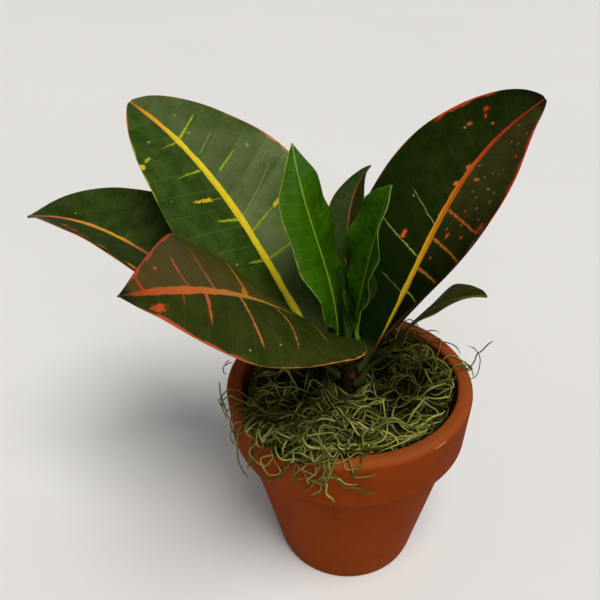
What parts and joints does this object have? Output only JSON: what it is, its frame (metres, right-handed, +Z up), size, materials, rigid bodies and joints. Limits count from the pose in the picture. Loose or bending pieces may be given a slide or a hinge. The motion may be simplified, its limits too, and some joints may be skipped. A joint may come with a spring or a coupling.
{
  "type": "potted croton",
  "caption": "Young potted croton with broad variegated leaves, in a tapered terracotta pot with a thick collar, the soil dressed with curly moss that spills over the rim.",
  "frame": {"origin": "centre of the pot's foot, on the pot's axis, in the plane the pot stands on", "axes": "+Z up along the pot's axis; the widest spread of leaves runs along X, with the long low leaf towards -X and the front leaf towards -Y"},
  "size_m": [0.2289, 0.1495, 0.2126],
  "materials": {
    "terracotta": "satin",
    "potting_soil": "matte",
    "moss": "matte",
    "young_wood": "matte",
    "leaf_yellow_veined": "satin",
    "leaf_dark_green": "satin",
    "leaf_bronze": "satin",
    "leaf_black_green": "satin",
    "leaf_young_green": "satin"
  },
  "bodies": {
    "root": {"pot": "terracotta", "soil": "potting_soil", "moss": "moss", "stem": "young_wood", "leaf_back_left": "leaf_yellow_veined", "leaf_left": "leaf_dark_green", "leaf_front_left": "leaf_bronze", "leaf_back_right": "leaf_black_green", "leaf_right": "leaf_dark_green", "leaf_back": "leaf_black_green", "young_leaf_left": "leaf_young_green", "young_leaf_right": "leaf_young_green"}
  },
  "joints": []
}
